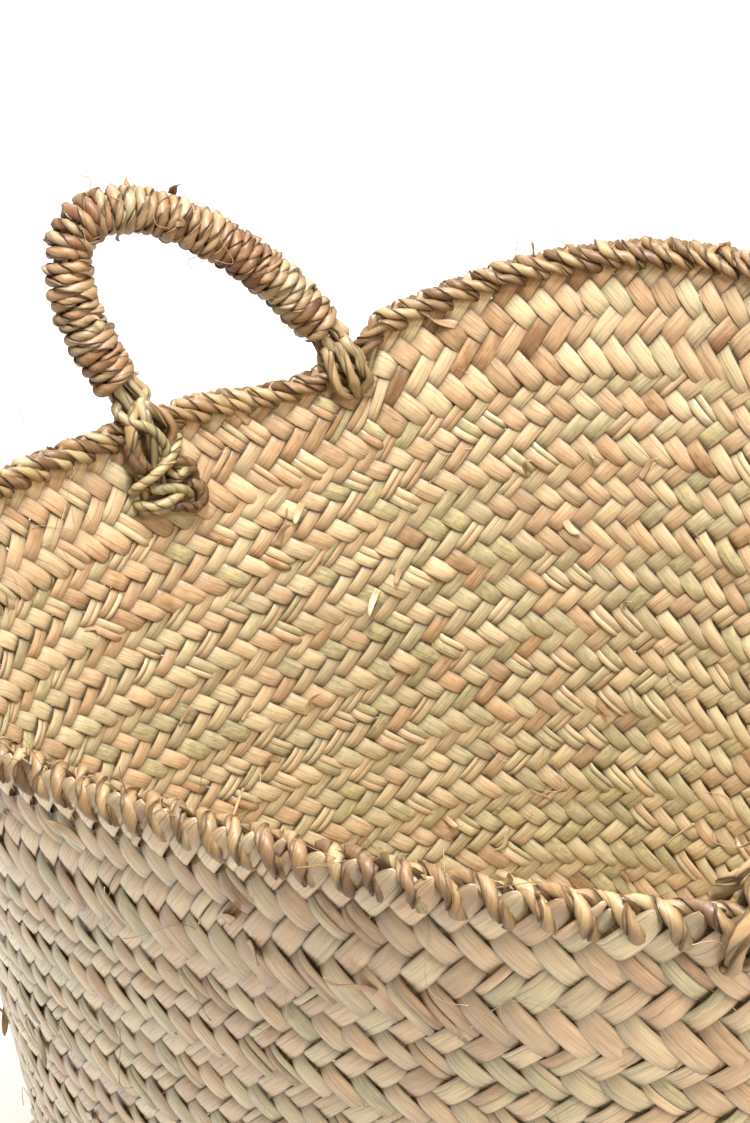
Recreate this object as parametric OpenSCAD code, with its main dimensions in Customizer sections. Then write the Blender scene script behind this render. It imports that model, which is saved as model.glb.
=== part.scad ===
// Soft oval storage basket. One plaited band is coiled from the middle of the base, round the
// heel and up the wall. Each turn of the band is sewn to the next with a cord, the top edge is
// overcast with a rim cord, and two wrapped handles hang in strand loops through the top turn.

/* [Basket] */
// Half of the rim's length
rim_a = 280; // [240:5:320]
// Half of the rim's width
rim_b = 234; // [200:2:260]
// How far the soft rim rises and falls in two waves
saddle = 30; // [0:2:36]
// How far the soft rim rises and falls in three waves
warp = 11; // [0:1:14]
// How far the rim's outline bulges in three lobes, as a share of its radius
lobe = 0.07; // [0:0.01:0.08]
// How far the first handle pulls the rim down at its second foot
rim_dip = 14; // [0:1:16]

/* [Plaited band] */
// Width of one turn of the band between seams
band_w = 45; // [40:1:50]
// Width of the top turn, which no other turn overlaps
rim_band_w = 58; // [50:1:64]
// Thickness of the plait
plait_t = 4; // [3:0.5:5]
// Turns of the band in the base, outside the centre piece
base_turns = 3; // [2:1:4]
// Turns of the band in the heel
heel_turns = 2; // [2:1:3]
// Turns of the band in the wall, below the top turn
wall_turns = 7; // [4:1:7]
// Outward lean of the wall at the rim, in degrees from upright
rim_lean = 9; // [4:1:14]
// Lean of the wall just above the heel
foot_lean = -2; // [-4:1:4]
// Diameter of the sewing cord in a seam
seam_cord_d = 2.6; // [2:0.2:3]

/* [Rim cord] */
// Width of the overcast edge across the wall
rim_cord_w = 12; // [10:0.5:13]
// Height of the overcast edge above the plait
rim_cord_rise = 4.5; // [3:0.5:5]
// How far the overcast edge reaches down each face of the wall
rim_cord_drop = 7; // [6:0.5:8]

/* [Handles] */
// Height of a handle's middle line above its two pivots
arch_h = 95; // [70:1:110]
// How far a handle's top leans sideways, towards its first foot
arch_skew = 45; // [0:1:46]
// Outer diameter of the wrapped grip
grip_d = 26; // [22:0.5:27]
// Diameter of the strand core inside the wrapping
core_d = 14; // [12:0.5:14.5]
// Diameter of the strand bundle where it passes through the wall
strand_d = 8; // [7:0.5:8]
// Depth of a strand hole below the rim
hole_drop = 14; // [13:0.5:16]
// Height of a handle's pivot above the rim
pivot_rise = 13.2; // [13.2:0.2:15]
// Diameter of the knuckle in which the strands meet
knuckle_d = 16; // [14:0.5:16]

/* [Hidden] */

stations = 72;              // ring sections round the basket
section_sides = 12;         // sides of a handle's section
arch_steps = 24;            // sections along a handle's grip
profile_step = 3;           // step of the wall's profile
clear = 0.2;                // clearance between soft neighbours
hole_clear = 0.5;           // radial clearance of a strand in its hole
pivot_clear = 1.6;          // gap between a knuckle and the end of a handle's core
bare_core = 2;              // length of core that shows between the knuckle and the wrapping

saddle_turn = 96;           // where the two waves stand round the rim
warp_turn = -158;           // where the three waves stand
lobe_turn = -162;           // where the three lobes stand
heel_share = 83 / 90;       // heel arc as a share of the heel turns' width
feet = [[15, -13.5], [193.8, 168.2]];   // each handle's two feet, as angles round the rim

wall_drop = rim_band_w + wall_turns * band_w;           // rim to the heel turns
drop = wall_drop + heel_turns * band_w;                 // rim to the edge of the base
heel_drop = drop - heel_share * heel_turns * band_w;    // where the heel's arc starts
base_b = band_w * (base_turns + 0.5);
base_stretch = rim_a - rim_b;                           // length of the oval past its width

// Lean of the wall at a distance down from the rim: slow along the wall, then round the heel
function lean(d) = d < heel_drop
    ? rim_lean + (foot_lean - rim_lean) * d / heel_drop
    : foot_lean + (90 - foot_lean) * (d - heel_drop) / (drop - heel_drop);

// The mean profile, walked down from the rim: [distance, inwards, down]
profile_n = ceil(drop / profile_step);
profile_ds = drop / profile_n;
profile = [for (i = 0, x = 0, z = 0; i <= profile_n;
                x = x + profile_ds * sin(lean((i + 0.5) * profile_ds)),
                z = z + profile_ds * cos(lean((i + 0.5) * profile_ds)),
                i = i + 1) [i * profile_ds, x, z]];
profile_end = profile[len(profile) - 1];
height = profile_end[2];
reach_table = [for (p = profile) [p[0], p[1] / profile_end[1]]];
rise_table = [for (p = profile) [p[0], 1 - p[2] / height]];

function unit(v) = v / norm(v);
function smooth(t) = let (c = max(0, min(1, t))) c * c * (3 - 2 * c);
function mix(p, q, t) = p * (1 - t) + q * t;
function turned(a) = a > 180 ? turned(a - 360) : a < -180 ? turned(a + 360) : a;

// The rim between the first handle's feet sags towards the second foot
function dip(a) = rim_dip * smooth((10 - turned(a)) / 18) * smooth((turned(a) + 19.5) / 4.5);

function rim_at(a) = let (k = 1 + lobe * cos(3 * a + lobe_turn))
    [rim_a * cos(a) * k, rim_b * sin(a) * k];
function base_at(a) = [(base_b + base_stretch) * cos(a), base_b * sin(a)];
function swing(a) = saddle * cos(2 * a + saddle_turn) + warp * cos(3 * a + warp_turn);

// Middle of the plait at angle a and distance d down from the rim
function middle(a, d) = let (
        rise = lookup(d, rise_table),
        xy = mix(rim_at(a), base_at(a), lookup(d, reach_table)))
    [xy[0], xy[1],
     plait_t / 2 + height * rise + swing(a) * rise * (1.5 - 0.5 * rise) - dip(a) * pow(rise, 8)];

function along(a, d) = unit(middle(a + 0.5, d) - middle(a - 0.5, d));
function up(a, d) = let (s = min(d, drop - 1), v = middle(a, s) - middle(a, s + 1), t = along(a, d))
    unit(v - t * (v * t));
function outward(a, d) = cross(along(a, d), up(a, d));

// A point of the plait: down from the rim (or above it, if negative) and out from its middle
function place(a, d, out) = let (s = max(0, d))
    middle(a, s) + up(a, s) * (s - d) + outward(a, s) * out;

// Distance down from the rim to the lower edge of curved turn i, where turn 1 is the rim band
function turn_edge(i) = i == 0 ? 0 : rim_band_w + (i - 1) * band_w;

curved_turns = 1 + wall_turns + heel_turns;
seams = base_turns + curved_turns;
edge_gap = seam_cord_d / 2 + clear;
base_gap = 1.6 * edge_gap;      // wider, since the rim's lobes squeeze the heel on two sides

straw = [0.80, 0.68, 0.46];
olive_straw = [0.70, 0.64, 0.42];
pink_straw = [0.82, 0.63, 0.45];
brown_straw = [0.62, 0.45, 0.28];

// A closed ring round the basket, from a section of [down, out] points in order
module ring(section) {
    n = len(section);
    polyhedron(
        points = [for (j = [0:stations - 1], s = section) place(j * 360 / stations, s[0], s[1])],
        faces = [for (j = [0:stations - 1], k = [0:n - 1])
            let (j2 = (j + 1) % stations, k2 = (k + 1) % n)
            each [[j * n + k, j2 * n + k, j2 * n + k2], [j * n + k, j2 * n + k2, j * n + k2]]]);
}

// One turn of the plait between two distances from the rim, with n steps down its width
module turn(top, bottom, n = 1) {
    half = plait_t / 2;
    step = (bottom - top) / n;
    ring(concat(
        [for (i = [0:n]) [top + i * step, -half]],
        [for (i = [n:-1:0]) [top + i * step, half]]));
}

// The oval of the base at a given half width
module oval(half) {
    polygon([for (j = [0:stations - 1]) let (a = j * 360 / stations)
        [(half + base_stretch) * cos(a), half * sin(a)]]);
}

module base_centre() {
    color(straw) linear_extrude(plait_t) oval(band_w / 2 - edge_gap);
}

module base_band(i) {
    color(i % 2 == 0 ? straw : olive_straw) linear_extrude(plait_t) difference() {
        oval(band_w * (i + 0.5) - edge_gap);
        oval(band_w * (i - 0.5) + edge_gap);
    }
}

// The heel's turns, counted up from the base
module heel_band(i) {
    edge = curved_turns - i;
    last = i == 1 ? drop - base_gap : turn_edge(edge + 1) - edge_gap;
    color(i % 2 == 0 ? olive_straw : straw) turn(turn_edge(edge) + edge_gap, last, 3);
}

// The wall's turns, counted up from the heel
module wall_band(i) {
    edge = curved_turns - heel_turns - i;
    color(i % 2 == 0 ? straw : pink_straw)
        turn(turn_edge(edge) + edge_gap, turn_edge(edge + 1) - edge_gap);
}

module rim_band() {
    color(straw) difference() {
        turn(0, rim_band_w - edge_gap);
        for (h = feet, a = h)
            at_foot(a) translate([0, 0, -hole_drop]) rotate([90, 0, 0])
                cylinder(d = strand_d + 2 * hole_clear, h = 5 * plait_t, center = true, $fn = 32);
    }
}

// An upside-down channel over the top edge of the plait
module rim_cord() {
    half = rim_cord_w / 2;
    slot = plait_t / 2 + clear;
    color(pink_straw) ring([
        [rim_cord_drop, -half], [-1, -half], [-rim_cord_rise, -half / 2],
        [-rim_cord_rise, half / 2], [-1, half], [rim_cord_drop, half],
        [rim_cord_drop, slot], [-clear, slot], [-clear, -slot], [rim_cord_drop, -slot]]);
}

// The sewing cord of one seam, counted from the middle of the base
module seam_cord(i) {
    r = seam_cord_d / 2;
    color(brown_straw) {
        if (i <= base_turns + 1)
            translate([0, 0, plait_t / 2 - r]) linear_extrude(seam_cord_d) difference() {
                oval(band_w * (i - 0.5) + r);
                oval(band_w * (i - 0.5) - r);
            }
        else {
            d = turn_edge(seams + 1 - i);
            ring([[d - r, 0], [d, -r], [d + r, 0], [d, r]]);
        }
    }
}

// Moves a part to the rim at angle a: X back along the rim, Y out of the basket, Z up the wall
module at_foot(a) {
    o = middle(a, 0);
    x = -along(a, 0);
    y = outward(a, 0);
    z = up(a, 0);
    multmatrix([[x[0], y[0], z[0], o[0]], [x[1], y[1], z[1], o[1]], [x[2], y[2], z[2], o[2]], [0, 0, 0, 1]])
        children();
}

// A round bar between two points
module bar(p, q, d) {
    v = q - p;
    translate(p) rotate([0, acos(v[2] / norm(v)), atan2(v[1], v[0])])
        cylinder(d = d, h = norm(v), $fn = 24);
    translate(p) sphere(d = d, $fn = 24);
    translate(q) sphere(d = d, $fn = 24);
}

leg_out = rim_cord_w / 2 + strand_d / 2 + 1.3;  // strand legs, from the wall's middle
loop_power = 2.2;                               // squareness of the loop's outline
loop_steps = 24;                                // sections round a loop
loop_sides = 8;                                 // sides of a loop's section

function power_of(t, p) = sign(t) * pow(abs(t), p);

// Middle line of a strand loop, which passes through the hole and over the rim
function loop_at(v) = [0, leg_out * power_of(cos(v), 2 / loop_power),
    (pivot_rise - hole_drop) / 2 + (pivot_rise + hole_drop) / 2 * power_of(sin(v), 2 / loop_power)];
function loop_side(v) = cross(unit(loop_at(v + 1) - loop_at(v - 1)), [1, 0, 0]);

// The strands that pass through the wall and straddle the rim, up to the knuckle of the handle
module handle_loop(h, side) {
    color(olive_straw) at_foot(feet[h - 1][side]) {
        polyhedron(
            points = [for (j = [0:loop_steps - 1], k = [0:loop_sides - 1])
                let (v = j * 360 / loop_steps, w = (k + 0.5) * 360 / loop_sides)
                loop_at(v) + strand_d / 2 * (loop_side(v) * cos(w) + [1, 0, 0] * sin(w))],
            faces = [for (j = [0:loop_steps - 1], k = [0:loop_sides - 1])
                let (j2 = (j + 1) % loop_steps, k2 = (k + 1) % loop_sides, n = loop_sides)
                each [[j * n + k, j2 * n + k2, j2 * n + k], [j * n + k, j * n + k2, j2 * n + k2]]]);
        translate([0, 0, pivot_rise]) sphere(d = knuckle_d, $fn = 32);
    }
}

knot_d = 9;         // thickness of one lashing of the knot
knot_w = 18;        // straight length of one lashing
knot_rows = 3;

// The lashings that finish the strands on the inside of the wall, under the first foot
module handle_knot(h) {
    first = -hole_drop - strand_d / 2 - knot_d / 2 - clear;
    out = -plait_t / 2 - knot_d / 2 - clear - 1;
    color(brown_straw) at_foot(feet[h - 1][0])
        for (i = [0:knot_rows - 1]) {
            z = first - i * 0.95 * knot_d;
            bar([-knot_w / 2, out, z], [knot_w / 2, out, z], knot_d);
        }
}

function pivot(h, side) = let (a = feet[h - 1][side]) middle(a, 0) + up(a, 0) * pivot_rise;

// A handle's own axes: E along its pivots towards the first foot, F up its arch, G out of it
function arch_e(h) = unit(pivot(h, 0) - pivot(h, 1));
function arch_f(h) = let (e = arch_e(h), w = up(feet[h - 1][0], 0) + up(feet[h - 1][1], 0))
    unit(w - e * (w * e));
function arch_g(h) = cross(arch_f(h), arch_e(h));
function arch_w(h) = norm(pivot(h, 0) - pivot(h, 1)) / 2;

// The arch is a half ellipse sheared towards the first foot
function arch_at(h, u) = (pivot(h, 0) + pivot(h, 1)) / 2
    + arch_e(h) * (arch_w(h) * cos(u) + arch_skew * sin(u)) + arch_f(h) * arch_h * sin(u);
function arch_way(h, u) =
    unit(arch_e(h) * (arch_skew * cos(u) - arch_w(h) * sin(u)) + arch_f(h) * arch_h * cos(u));

arch_speed = norm([arch_skew, arch_h]) * PI / 180;      // length of arch per degree at a foot
core_start = (knuckle_d / 2 + pivot_clear) / arch_speed + 0.1;
wrap_start = core_start + bare_core / arch_speed;
core_u = concat([core_start], [for (i = [0:arch_steps])
    wrap_start + (180 - 2 * wrap_start) * i / arch_steps], [180 - core_start]);

// Points round a handle's section at arch angle u
function arch_section(h, u, r) = let (g = arch_g(h), s = cross(arch_way(h, u), g))
    [for (k = [0:section_sides - 1]) let (v = k * 360 / section_sides)
        arch_at(h, u) + s * r * cos(v) + g * r * sin(v)];

function tube_faces(n, first, flip) = [for (j = [0:n - 2], k = [0:section_sides - 1])
    let (a = first + j * section_sides + k, b = first + j * section_sides + (k + 1) % section_sides,
         c = a + section_sides, d = b + section_sides)
    each (flip ? [[a, d, b], [a, c, d]] : [[a, b, d], [a, d, c]])];

// The straight strands inside a handle
module handle_core(h) {
    n = len(core_u);
    color(straw) polyhedron(
        points = [for (u = core_u) each arch_section(h, u, core_d / 2)],
        faces = concat(tube_faces(n, 0, false),
            [[for (k = [section_sides - 1:-1:0]) k],
             [for (k = [0:section_sides - 1]) (n - 1) * section_sides + k]]));
}

// The cord wound round the strands, as a tube that fits over the core
module handle_wrap(h) {
    us = [for (i = [1:arch_steps + 1]) core_u[i]];
    n = len(us);
    inner = n * section_sides;
    last = (n - 1) * section_sides;
    color(pink_straw) polyhedron(
        points = concat([for (u = us) each arch_section(h, u, grip_d / 2)],
                        [for (u = us) each arch_section(h, u, core_d / 2)]),
        faces = concat(tube_faces(n, 0, false), tube_faces(n, inner, true),
            [for (k = [0:section_sides - 1]) let (k2 = (k + 1) % section_sides)
                each [[k2, k, inner + k, inner + k2],
                      [last + k, last + k2, inner + last + k2, inner + last + k]]]));
}

base_centre();
for (i = [1:base_turns])
    base_band(i);
for (i = [1:heel_turns])
    heel_band(i);
for (i = [1:wall_turns])
    wall_band(i);
rim_band();
rim_cord();
for (i = [1:seams])
    seam_cord(i);
for (h = [1:2]) {
    handle_loop(h, 0);
    handle_loop(h, 1);
    handle_knot(h);
    handle_core(h);
    handle_wrap(h);
}
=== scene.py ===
"""Looks of a soft oval basket: plaited leaf strips, an overcast rim and two cord-wrapped handles."""
import math

import bpy
import numpy as np
from mathutils import Matrix, Vector


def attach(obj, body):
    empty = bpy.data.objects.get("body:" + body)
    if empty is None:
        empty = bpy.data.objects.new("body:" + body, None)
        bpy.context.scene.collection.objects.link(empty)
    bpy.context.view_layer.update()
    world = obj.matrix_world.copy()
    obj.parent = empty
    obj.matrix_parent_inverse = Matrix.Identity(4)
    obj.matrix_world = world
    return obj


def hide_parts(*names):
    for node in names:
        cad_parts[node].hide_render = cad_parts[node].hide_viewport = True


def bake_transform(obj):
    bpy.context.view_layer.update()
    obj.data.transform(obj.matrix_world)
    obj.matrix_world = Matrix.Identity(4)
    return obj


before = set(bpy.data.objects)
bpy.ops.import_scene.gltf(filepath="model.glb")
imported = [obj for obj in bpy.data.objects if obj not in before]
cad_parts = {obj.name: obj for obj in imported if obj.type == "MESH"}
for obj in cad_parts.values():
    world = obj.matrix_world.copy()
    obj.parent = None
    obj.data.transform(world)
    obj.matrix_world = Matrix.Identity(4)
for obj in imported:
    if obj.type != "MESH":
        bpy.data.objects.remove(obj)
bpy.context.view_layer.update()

MM = 0.001

# Camera, in the frame's metres and degrees
CAMERA_AT = (-0.7501, 0.3397, 0.8553)
CAMERA_HEADING = 248.44  # turned from +Y towards -X
CAMERA_PITCH = -27.02
CAMERA_ROLL = -5.57
CAMERA_LENS = 72.13  # mm
SENSOR_HEIGHT = 36  # mm

# Lights: name, place, aim and diameter in metres, power in watts and colour
COOL, WARM, WHITE = (0.98, 0.99, 1.0), (1.0, 0.83, 0.64), (1.0, 1.0, 1.0)
LIGHTS = (
    ("key", (-0.42, 0.10, 1.75), (0.15, -0.05, 0.25), 0.30, 25, COOL),
    ("top", (0.0, 0.10, 1.9), (0.05, 0, 0.1), 0.7, 30, COOL),
    ("fill", (-1.5, -0.9, 0.5), (-0.15, -0.1, 0.25), 0.7, 11, WARM),
    ("front", (-1.0, -0.1, 1.4), (0.1, -0.05, 0.3), 0.22, 7, WHITE),
    ("back", (2.1, -0.8, 2.2), (2.3, -0.9, 0), 2.0, 75, WHITE),
)
SURROUNDINGS, SURROUNDINGS_STRENGTH = (1.0, 0.945, 0.865, 1), 0.38
FLOOR_HALF = 40.0  # metres from the middle of the floor to each side
FLOOR_PAINT, FLOOR_ROUGHNESS = (0.58, 0.56, 0.52, 1), 0.9
FLOOR_GLOW, FLOOR_GLOW_STRENGTH = (1.0, 0.96, 0.89, 1), 0.3

# Driving dimensions of the basket, in mm and degrees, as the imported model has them
RIM_A, RIM_B = 280, 234
SADDLE, SADDLE_TURN = 30, 96
WARP, WARP_TURN = 11, -158
LOBE, LOBE_TURN = 0.07, -162
RIM_DIP = 14
DIP_START, DIP_EASE_IN = -19.5, 4.5  # the rim sags by the first handle's second foot
DIP_END, DIP_EASE_OUT = 10, 18
DIP_FADE = 8  # power by which the dip fades down the wall
RIM_BAND, BAND = 58, 45
WALL_TURNS, HEEL_TURNS, BASE_TURNS = 7, 2, 3
HEEL_SHARE = 83 / 90  # heel arc as a share of the heel turns' width
PLAIT_T = 4
RIM_LEAN, FOOT_LEAN = 9, -2
FEET = ((15, -13.5), (193.8, 168.2))
PIVOT_RISE = 13.2
ARCH_H, ARCH_SKEW = 95, 45
GRIP_D, CORE_D = 26, 14

WALL_DROP = RIM_BAND + WALL_TURNS * BAND
DROP = WALL_DROP + HEEL_TURNS * BAND
HEEL_DROP = DROP - HEEL_SHARE * HEEL_TURNS * BAND
BASE_B = BAND * (BASE_TURNS + 0.5)
STRETCH = RIM_A - RIM_B
PROFILE_STEPS = 155  # steps of the wall's profile
ROUND_STEPS = 1440  # steps in which a way round the basket is measured

# The plait
FLOAT_PITCH = 12.7  # along the rim, from one strip to the next
ROWS = 4  # rows of floats across one band
FLOAT_LENGTH = 17  # of a strip, over one row
LEAF_T = 0.8  # thickness of a strip
LIFT = 1.4  # how far a float stands from the plait's middle
CROWN = 0.4  # how far a float bulges across its width

rng = np.random.default_rng(7)


# --- Camera, light and floor ---

def make_camera():
    data = bpy.data.cameras.new("camera")
    data.sensor_fit = "VERTICAL"
    data.sensor_height = SENSOR_HEIGHT
    data.lens = CAMERA_LENS
    data.clip_start = 0.01
    camera = bpy.data.objects.new("camera", data)
    turn = (Matrix.Rotation(math.radians(CAMERA_HEADING), 4, "Z")
            @ Matrix.Rotation(math.radians(90 + CAMERA_PITCH), 4, "X")
            @ Matrix.Rotation(math.radians(CAMERA_ROLL), 4, "Z"))
    camera.matrix_world = Matrix.Translation(CAMERA_AT) @ turn
    bpy.context.scene.collection.objects.link(camera)
    bpy.context.scene.camera = camera


def add_light(name, at, aim, size, power, tint):
    data = bpy.data.lights.new(name, "AREA")
    data.shape = "DISK"
    data.size = size
    data.energy = power
    data.color = tint
    light = bpy.data.objects.new(name, data)
    light.location = at
    light.rotation_euler = (Vector(aim) - Vector(at)).to_track_quat("-Z", "Y").to_euler()
    bpy.context.scene.collection.objects.link(light)


def make_surroundings():
    world = bpy.data.worlds.new("studio")
    world.use_nodes = True
    background = world.node_tree.nodes["Background"]
    background.inputs["Color"].default_value = SURROUNDINGS
    background.inputs["Strength"].default_value = SURROUNDINGS_STRENGTH
    bpy.context.scene.world = world
    bpy.context.scene.view_settings.view_transform = "Standard"


def make_floor():
    far = FLOOR_HALF
    mesh = bpy.data.meshes.new("floor")
    mesh.from_pydata([(-far, -far, 0), (far, -far, 0), (far, far, 0), (-far, far, 0)], [], [(0, 1, 2, 3)])
    floor = bpy.data.objects.new("floor", mesh)
    bpy.context.scene.collection.objects.link(floor)
    paint = bpy.data.materials.new("floor_paint")
    paint.use_nodes = True
    shader = paint.node_tree.nodes["Principled BSDF"]
    shader.inputs["Base Color"].default_value = FLOOR_PAINT
    shader.inputs["Roughness"].default_value = FLOOR_ROUGHNESS
    shader.inputs["Emission Color"].default_value = FLOOR_GLOW
    shader.inputs["Emission Strength"].default_value = FLOOR_GLOW_STRENGTH
    mesh.materials.append(paint)


def make_studio():
    make_surroundings()
    for light in LIGHTS:
        add_light(*light)
    make_floor()


make_camera()
make_studio()


# --- The basket's surface ---

def smooth(t):
    t = np.clip(t, 0, 1)
    return t * t * (3 - 2 * t)


def unit(v):
    return v / np.maximum(np.linalg.norm(v, axis=-1, keepdims=True), 1e-9)


def lean(d):
    """Lean of the wall from upright, in radians, at a distance down from the rim."""
    wall = RIM_LEAN + (FOOT_LEAN - RIM_LEAN) * d / HEEL_DROP
    heel = FOOT_LEAN + (90 - FOOT_LEAN) * (d - HEEL_DROP) / (DROP - HEEL_DROP)
    return np.radians(np.where(d < HEEL_DROP, wall, heel))


# The mean profile, walked down from the rim: how far in and how far down it has come
PROFILE_D = np.linspace(0, DROP, PROFILE_STEPS + 1)
PROFILE_STEP = PROFILE_D[1]
PROFILE_LEAN = lean(PROFILE_D[:-1] + PROFILE_STEP / 2)
PROFILE_IN = np.concatenate([[0], np.cumsum(PROFILE_STEP * np.sin(PROFILE_LEAN))])
PROFILE_DOWN = np.concatenate([[0], np.cumsum(PROFILE_STEP * np.cos(PROFILE_LEAN))])
HEIGHT = PROFILE_DOWN[-1]


def middle(angle, d):
    """Middle of the plait at an angle round the basket and a distance down from the rim."""
    a = np.radians(angle)
    turned = (angle + 180) % 360 - 180
    rise = np.interp(d, PROFILE_D, 1 - PROFILE_DOWN / HEIGHT)
    reach = np.interp(d, PROFILE_D, PROFILE_IN / PROFILE_IN[-1])
    lobed = 1 + LOBE * np.cos(3 * a + math.radians(LOBE_TURN))
    half = np.maximum(BASE_B - np.maximum(d - DROP, 0), 0.5)
    x = RIM_A * np.cos(a) * lobed * (1 - reach) + (half + STRETCH) * np.cos(a) * reach
    y = RIM_B * np.sin(a) * lobed * (1 - reach) + half * np.sin(a) * reach
    swing = (SADDLE * np.cos(2 * a + math.radians(SADDLE_TURN))
             + WARP * np.cos(3 * a + math.radians(WARP_TURN)))
    dip = (RIM_DIP * smooth((DIP_END - turned) / DIP_EASE_OUT)
           * smooth((turned - DIP_START) / DIP_EASE_IN))
    # The rim's waves die out down the wall
    z = PLAIT_T / 2 + HEIGHT * rise + swing * rise * (1.5 - 0.5 * rise) - dip * rise ** DIP_FADE
    return np.stack([x, y, z], -1)


def surface(angle, d):
    """Point of the plait's middle, with unit vectors along it, up it and into the basket."""
    angle, d = np.broadcast_arrays(np.asarray(angle, float), np.asarray(d, float))
    s = np.maximum(d, 0)
    along = unit(middle(angle + 0.5, s) - middle(angle - 0.5, s))
    slope = middle(angle, np.maximum(s - 0.5, 0)) - middle(angle, s + 0.5)
    up = unit(slope - along * (slope * along).sum(-1, keepdims=True))
    return middle(angle, s) + up * (s - d)[..., None], along, up, np.cross(up, along)


def place(angle, d, inward=0.0):
    at, _, _, inside = surface(angle, d)
    return at + inside * np.asarray(inward, float)[..., None]


class Round:
    """Equal steps round the basket at one distance down from the rim."""

    def __init__(self, d):
        self.angles = np.linspace(0, 360, ROUND_STEPS + 1)
        line = middle(self.angles, np.full(ROUND_STEPS + 1, float(d)))
        steps = np.linalg.norm(np.diff(line, axis=0), axis=1)
        self.lengths = np.concatenate([[0], np.cumsum(steps)])
        self.cells = int(round(self.lengths[-1] / FLOAT_PITCH))
        self.pitch = self.lengths[-1] / self.cells

    def angle(self, u):
        """The angle after a number of steps, which may be past the last one."""
        turns = np.floor(u / self.cells)
        rest = (u - turns * self.cells) * self.pitch
        return np.interp(rest, self.lengths, self.angles) + 360 * turns


# --- Meshes ---

def loft(name, grid, across, along, ident, mix, closed=False, sharp=()):
    """A mesh of tubes. grid is tubes x stations x sides x 3 in mm, and each section is closed.
    across, along and ident go to the "leaf" attribute, and mix (hue, tone, darkening) to "mix"; the
    darkening is mostly painted shade.
    closed joins each tube's ends, and sharp lists the sides whose edges stay sharp."""
    tubes, stations, sides = grid.shape[:3]
    index = np.arange(tubes * stations * sides, dtype=np.int64).reshape(tubes, stations, sides)
    ahead = np.roll(index, -1, axis=1) if closed else index[:, 1:]
    here = index if closed else index[:, :-1]
    quads = np.stack([here, np.roll(here, -1, axis=2), np.roll(ahead, -1, axis=2), ahead], -1)
    corners = [quads.reshape(-1)]
    sizes = [np.full(quads.size // 4, 4)]
    if not closed:
        caps = np.concatenate([index[:, 0, ::-1], index[:, -1]])
        corners.append(caps.reshape(-1))
        sizes.append(np.full(len(caps), sides))
    corners = np.concatenate(corners)
    sizes = np.concatenate(sizes)
    mesh = bpy.data.meshes.new(name)
    mesh.vertices.add(index.size)
    mesh.vertices.foreach_set("co", (grid * MM).astype(np.float32).reshape(-1))
    mesh.loops.add(len(corners))
    mesh.loops.foreach_set("vertex_index", corners.astype(np.int32))
    mesh.polygons.add(len(sizes))
    mesh.polygons.foreach_set("loop_start", (np.cumsum(sizes) - sizes).astype(np.int32))
    mesh.update(calc_edges=True)
    mesh.polygons.foreach_set("use_smooth", np.ones(len(sizes), bool))
    shape = (tubes, stations, sides)
    leaf = np.stack([np.broadcast_to(v, shape) for v in (across, along, ident)], -1)
    tint = np.stack([np.broadcast_to(v, shape) for v in mix], -1)
    for label, values in (("leaf", leaf), ("mix", tint)):
        attribute = mesh.attributes.new(label, "FLOAT_VECTOR", "POINT")
        attribute.data.foreach_set("vector", values.astype(np.float32).reshape(-1))
    if len(sharp):
        ends = np.zeros(len(mesh.edges) * 2, np.int32)
        mesh.edges.foreach_get("vertices", ends)
        side = ends.reshape(-1, 2) % sides
        keep = (side[:, 0] == side[:, 1]) & np.isin(side[:, 0], sharp)
        crease = mesh.attributes.new("sharp_edge", "BOOLEAN", "EDGE")
        crease.data.foreach_set("value", keep)
    piece = bpy.data.objects.new(name, mesh)
    bpy.context.scene.collection.objects.link(piece)
    return piece


def finish_piece(piece, body, slot, nodes=()):
    piece.data.materials.append(MATERIALS[slot])
    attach(piece, body)
    if nodes:
        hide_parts(*nodes)


# --- Materials ---

# The palettes, as 0-255 screen colours at their places from 0 to 1
BROWN, TAN, PEACH, STRAW = (156, 118, 84), (190, 153, 114), (208, 175, 137), (214, 191, 151)
# The last colour on the next line is a dark brown that the leaf is mixed towards: mostly painted shade at
# the seams and in the grooves, and the sewing cord's extra darkening
PALE, OLIVE, LEMON, DARKENING_COLOUR = (205, 189, 149), (180, 168, 129), (206, 188, 138), (92, 62, 38)
LEAF_STOPS = ((0.0, BROWN), (0.15, TAN), (0.38, PEACH), (0.58, STRAW), (0.72, PALE), (0.86, OLIVE),
              (0.93, LEMON), (1.0, OLIVE))
CORD_STOPS = {
    "sewing_cord": ((0.0, (96, 66, 42)), (1.0, (150, 112, 74))),
    "rim_cord": ((0.0, (112, 82, 56)), (0.3, (148, 116, 78)), (0.65, (170, 142, 100)),
                 (1.0, (178, 160, 118))),
    "handle_strands": ((0.0, (144, 106, 72)), (0.4, (180, 150, 108)), (0.75, (164, 150, 114)),
                       (1.0, (186, 168, 126))),
    "knot_cord": ((0.0, (92, 66, 46)), (0.3, (132, 102, 70)), (0.6, (156, 144, 106)),
                  (1.0, (192, 171, 122))),
    "handle_wrap": ((0.0, (122, 82, 54)), (0.2, (152, 114, 78)), (0.45, (172, 140, 103)),
                    (0.75, (178, 156, 120)), (1.0, (158, 146, 112))),
}
LEAF_ROUGHNESS, LEAF_COAT = 0.3, 0.3
CORD_ROUGHNESS, CORD_COAT = 0.42, 0.08
COAT_ROUGHNESS = 0.22

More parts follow.
